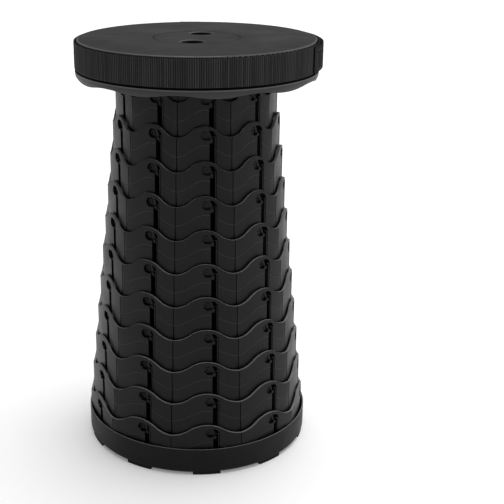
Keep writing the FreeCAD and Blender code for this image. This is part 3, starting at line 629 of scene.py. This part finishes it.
def sewn_ends():
    """A box of stitches at each end of the carry loop."""
    bm = bmesh.new()
    low = LOOP_LOW + STITCH_MARGIN
    high = LOOP_HIGH - STITCH_MARGIN
    for end, inward in ((LOOP_START, 1), (LOOP_END, -1)):
        for row in range(STITCH_ROWS):
            height = low + (high - low) * (row + 0.5) / STITCH_ROWS
            for away in BOX_SIDES:
                stitch(bm, end + inward * math.radians(away), height, True)
        for column in range(STITCH_COLUMNS):
            away = COLUMN_START + column * COLUMN_PITCH
            for height in (low, high):
                stitch(bm, end + inward * math.radians(away), height, False)
    for face in bm.faces:
        face.smooth = True
    new_piece("carry_loop_stitches", bm, "seat", "webbing", (THREAD,))


def threaded_webbing():
    """The webbing where it comes up through the slider and goes over its middle bar."""
    bm = bmesh.new()
    made = bmesh.ops.create_grid(bm, x_segments=16, y_segments=8, size=0.5)
    for vert in made["verts"]:
        across = vert.co.x
        over = min(1.0, THREADED_STEEPNESS * math.cos(math.pi * across))
        out = THREADED_BOTTOM + (THREADED_TOP - THREADED_BOTTOM) * over
        angle = SLIDER_MIDDLE + across * 2 * THREADED_HALF
        vert.co = polar(out, angle, STRAP_MIDDLE + crowd(vert.co.y) * THREADED_WIDTH)
    woven_piece("slider_webbing", bm, THREADED_THICKNESS, (WEBBING,))


for order in range(1, RINGS + 1):
    name = "ring_%02d" % order
    moulding(name, name, (RING, EDGE, SHADE), "ring_plastic", RING_BREAK, ring_painter(order))
moulding("base_ring", "base", (RING, EDGE, SHADE), "ring_plastic", RING_BREAK, ring_painter(RINGS + 1))
moulding("base_cup", "base", (BAND, EDGE), "ring_plastic", SHELL_BREAK, band_painter)
moulding("seat_cover", "seat", (SEAT, SEAT_HIGHLIGHTED, SHADE, SKIRT), "seat_plastic", SHELL_BREAK, seat_painter)
moulding("centre_cap", "seat", (SEAT, SEAT_HIGHLIGHTED), "seat_plastic", SHELL_BREAK, cap_painter)
moulding("strap_slider", "seat", (BAND,), "slider_plastic", SLIDER_BREAK)
moulding("foot_pads", "base", (RUBBER,), "pad_rubber", PAD_BREAK)
strap_band()
carry_loop()
sewn_ends()
threaded_webbing()

# Solids that show as they are. The others hide most of them.
for node, material in (
    ("seat_collar", RING),
    ("seat_frame", SEAT),
    ("seat_screws", STEEL),
):
    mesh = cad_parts[node].data
    mesh.materials.clear()
    mesh.materials.append(material)


# Studio: lengths in metres, angles in radians

FLOOR_SIZE = 6.0
ROOM_LIGHT = 0.4
CEILING_LIGHT = 2.3
CEILING_SPREAD = math.radians(60)
CEILING_LEAN = (math.radians(-14), math.radians(12), 0)
SOFTBOX_PLACE = Vector((1.5, -0.9, 0.8))
SOFTBOX_AIM = Vector((0, 0, 0.25))
SOFTBOX_WIDTH = 0.8
SOFTBOX_HEIGHT = 1.4
SOFTBOX_POWER = 3


def studio_floor():
    bm = bmesh.new()
    bmesh.ops.create_grid(bm, x_segments=1, y_segments=1, size=FLOOR_SIZE)
    mesh = bpy.data.meshes.new("studio_floor")
    bm.to_mesh(mesh)
    bm.free()
    mesh.materials.append(floor_paper())
    floor = bpy.data.objects.new("studio_floor", mesh)
    bpy.context.scene.collection.objects.link(floor)


def lamp(name, kind, energy):
    """A lamp in the scene, still to be aimed."""
    data = bpy.data.lights.new(name, kind)
    data.energy = energy
    made = bpy.data.objects.new(name, data)
    bpy.context.scene.collection.objects.link(made)
    return made


def studio_light():
    """A dim white room, a wide bright ceiling and a soft box at the right."""
    world = bpy.data.worlds.new("studio_light")
    bpy.context.scene.world = world
    world.use_nodes = True
    room = world.node_tree.nodes["Background"]
    room.inputs["Color"].default_value = (1, 1, 1, 1)
    room.inputs["Strength"].default_value = ROOM_LIGHT

    ceiling = lamp("overhead_softbox", "SUN", CEILING_LIGHT)
    ceiling.data.angle = CEILING_SPREAD
    ceiling.rotation_euler = CEILING_LEAN

    softbox = lamp("right_softbox", "AREA", SOFTBOX_POWER)
    softbox.data.shape = "RECTANGLE"
    softbox.data.size = SOFTBOX_WIDTH
    softbox.data.size_y = SOFTBOX_HEIGHT
    softbox.location = SOFTBOX_PLACE
    softbox.rotation_euler = (SOFTBOX_AIM - SOFTBOX_PLACE).to_track_quat("-Z", "Y").to_euler()


# How the camera stands, as fitted to the photograph. Its sensor is in millimetres.
CAMERA_DISTANCE = 1.120
CAMERA_HEIGHT = 0.6072
CAMERA_AZIMUTH = math.radians(-95)
CAMERA_PITCH = 0.341
SENSOR_WIDTH = 36
IMAGE_WIDTH = 504
FOCAL_PIXELS = 1065.8
STOOL_AXIS_PIXEL = 196.85


def camera():
    data = bpy.data.cameras.new("camera")
    data.sensor_width = SENSOR_WIDTH
    data.lens = SENSOR_WIDTH * FOCAL_PIXELS / IMAGE_WIDTH
    data.shift_x = (IMAGE_WIDTH / 2 - STOOL_AXIS_PIXEL) / IMAGE_WIDTH
    data.clip_end = 50
    made = bpy.data.objects.new("camera", data)
    bpy.context.scene.collection.objects.link(made)
    made.location = (CAMERA_DISTANCE * math.cos(CAMERA_AZIMUTH), CAMERA_DISTANCE * math.sin(CAMERA_AZIMUTH),
                     CAMERA_HEIGHT)
    made.rotation_euler = (math.pi / 2 - CAMERA_PITCH, 0, CAMERA_AZIMUTH + math.pi / 2)
    bpy.context.scene.camera = made


studio_floor()
studio_light()
camera()
bpy.context.scene.view_settings.view_transform = "Standard"
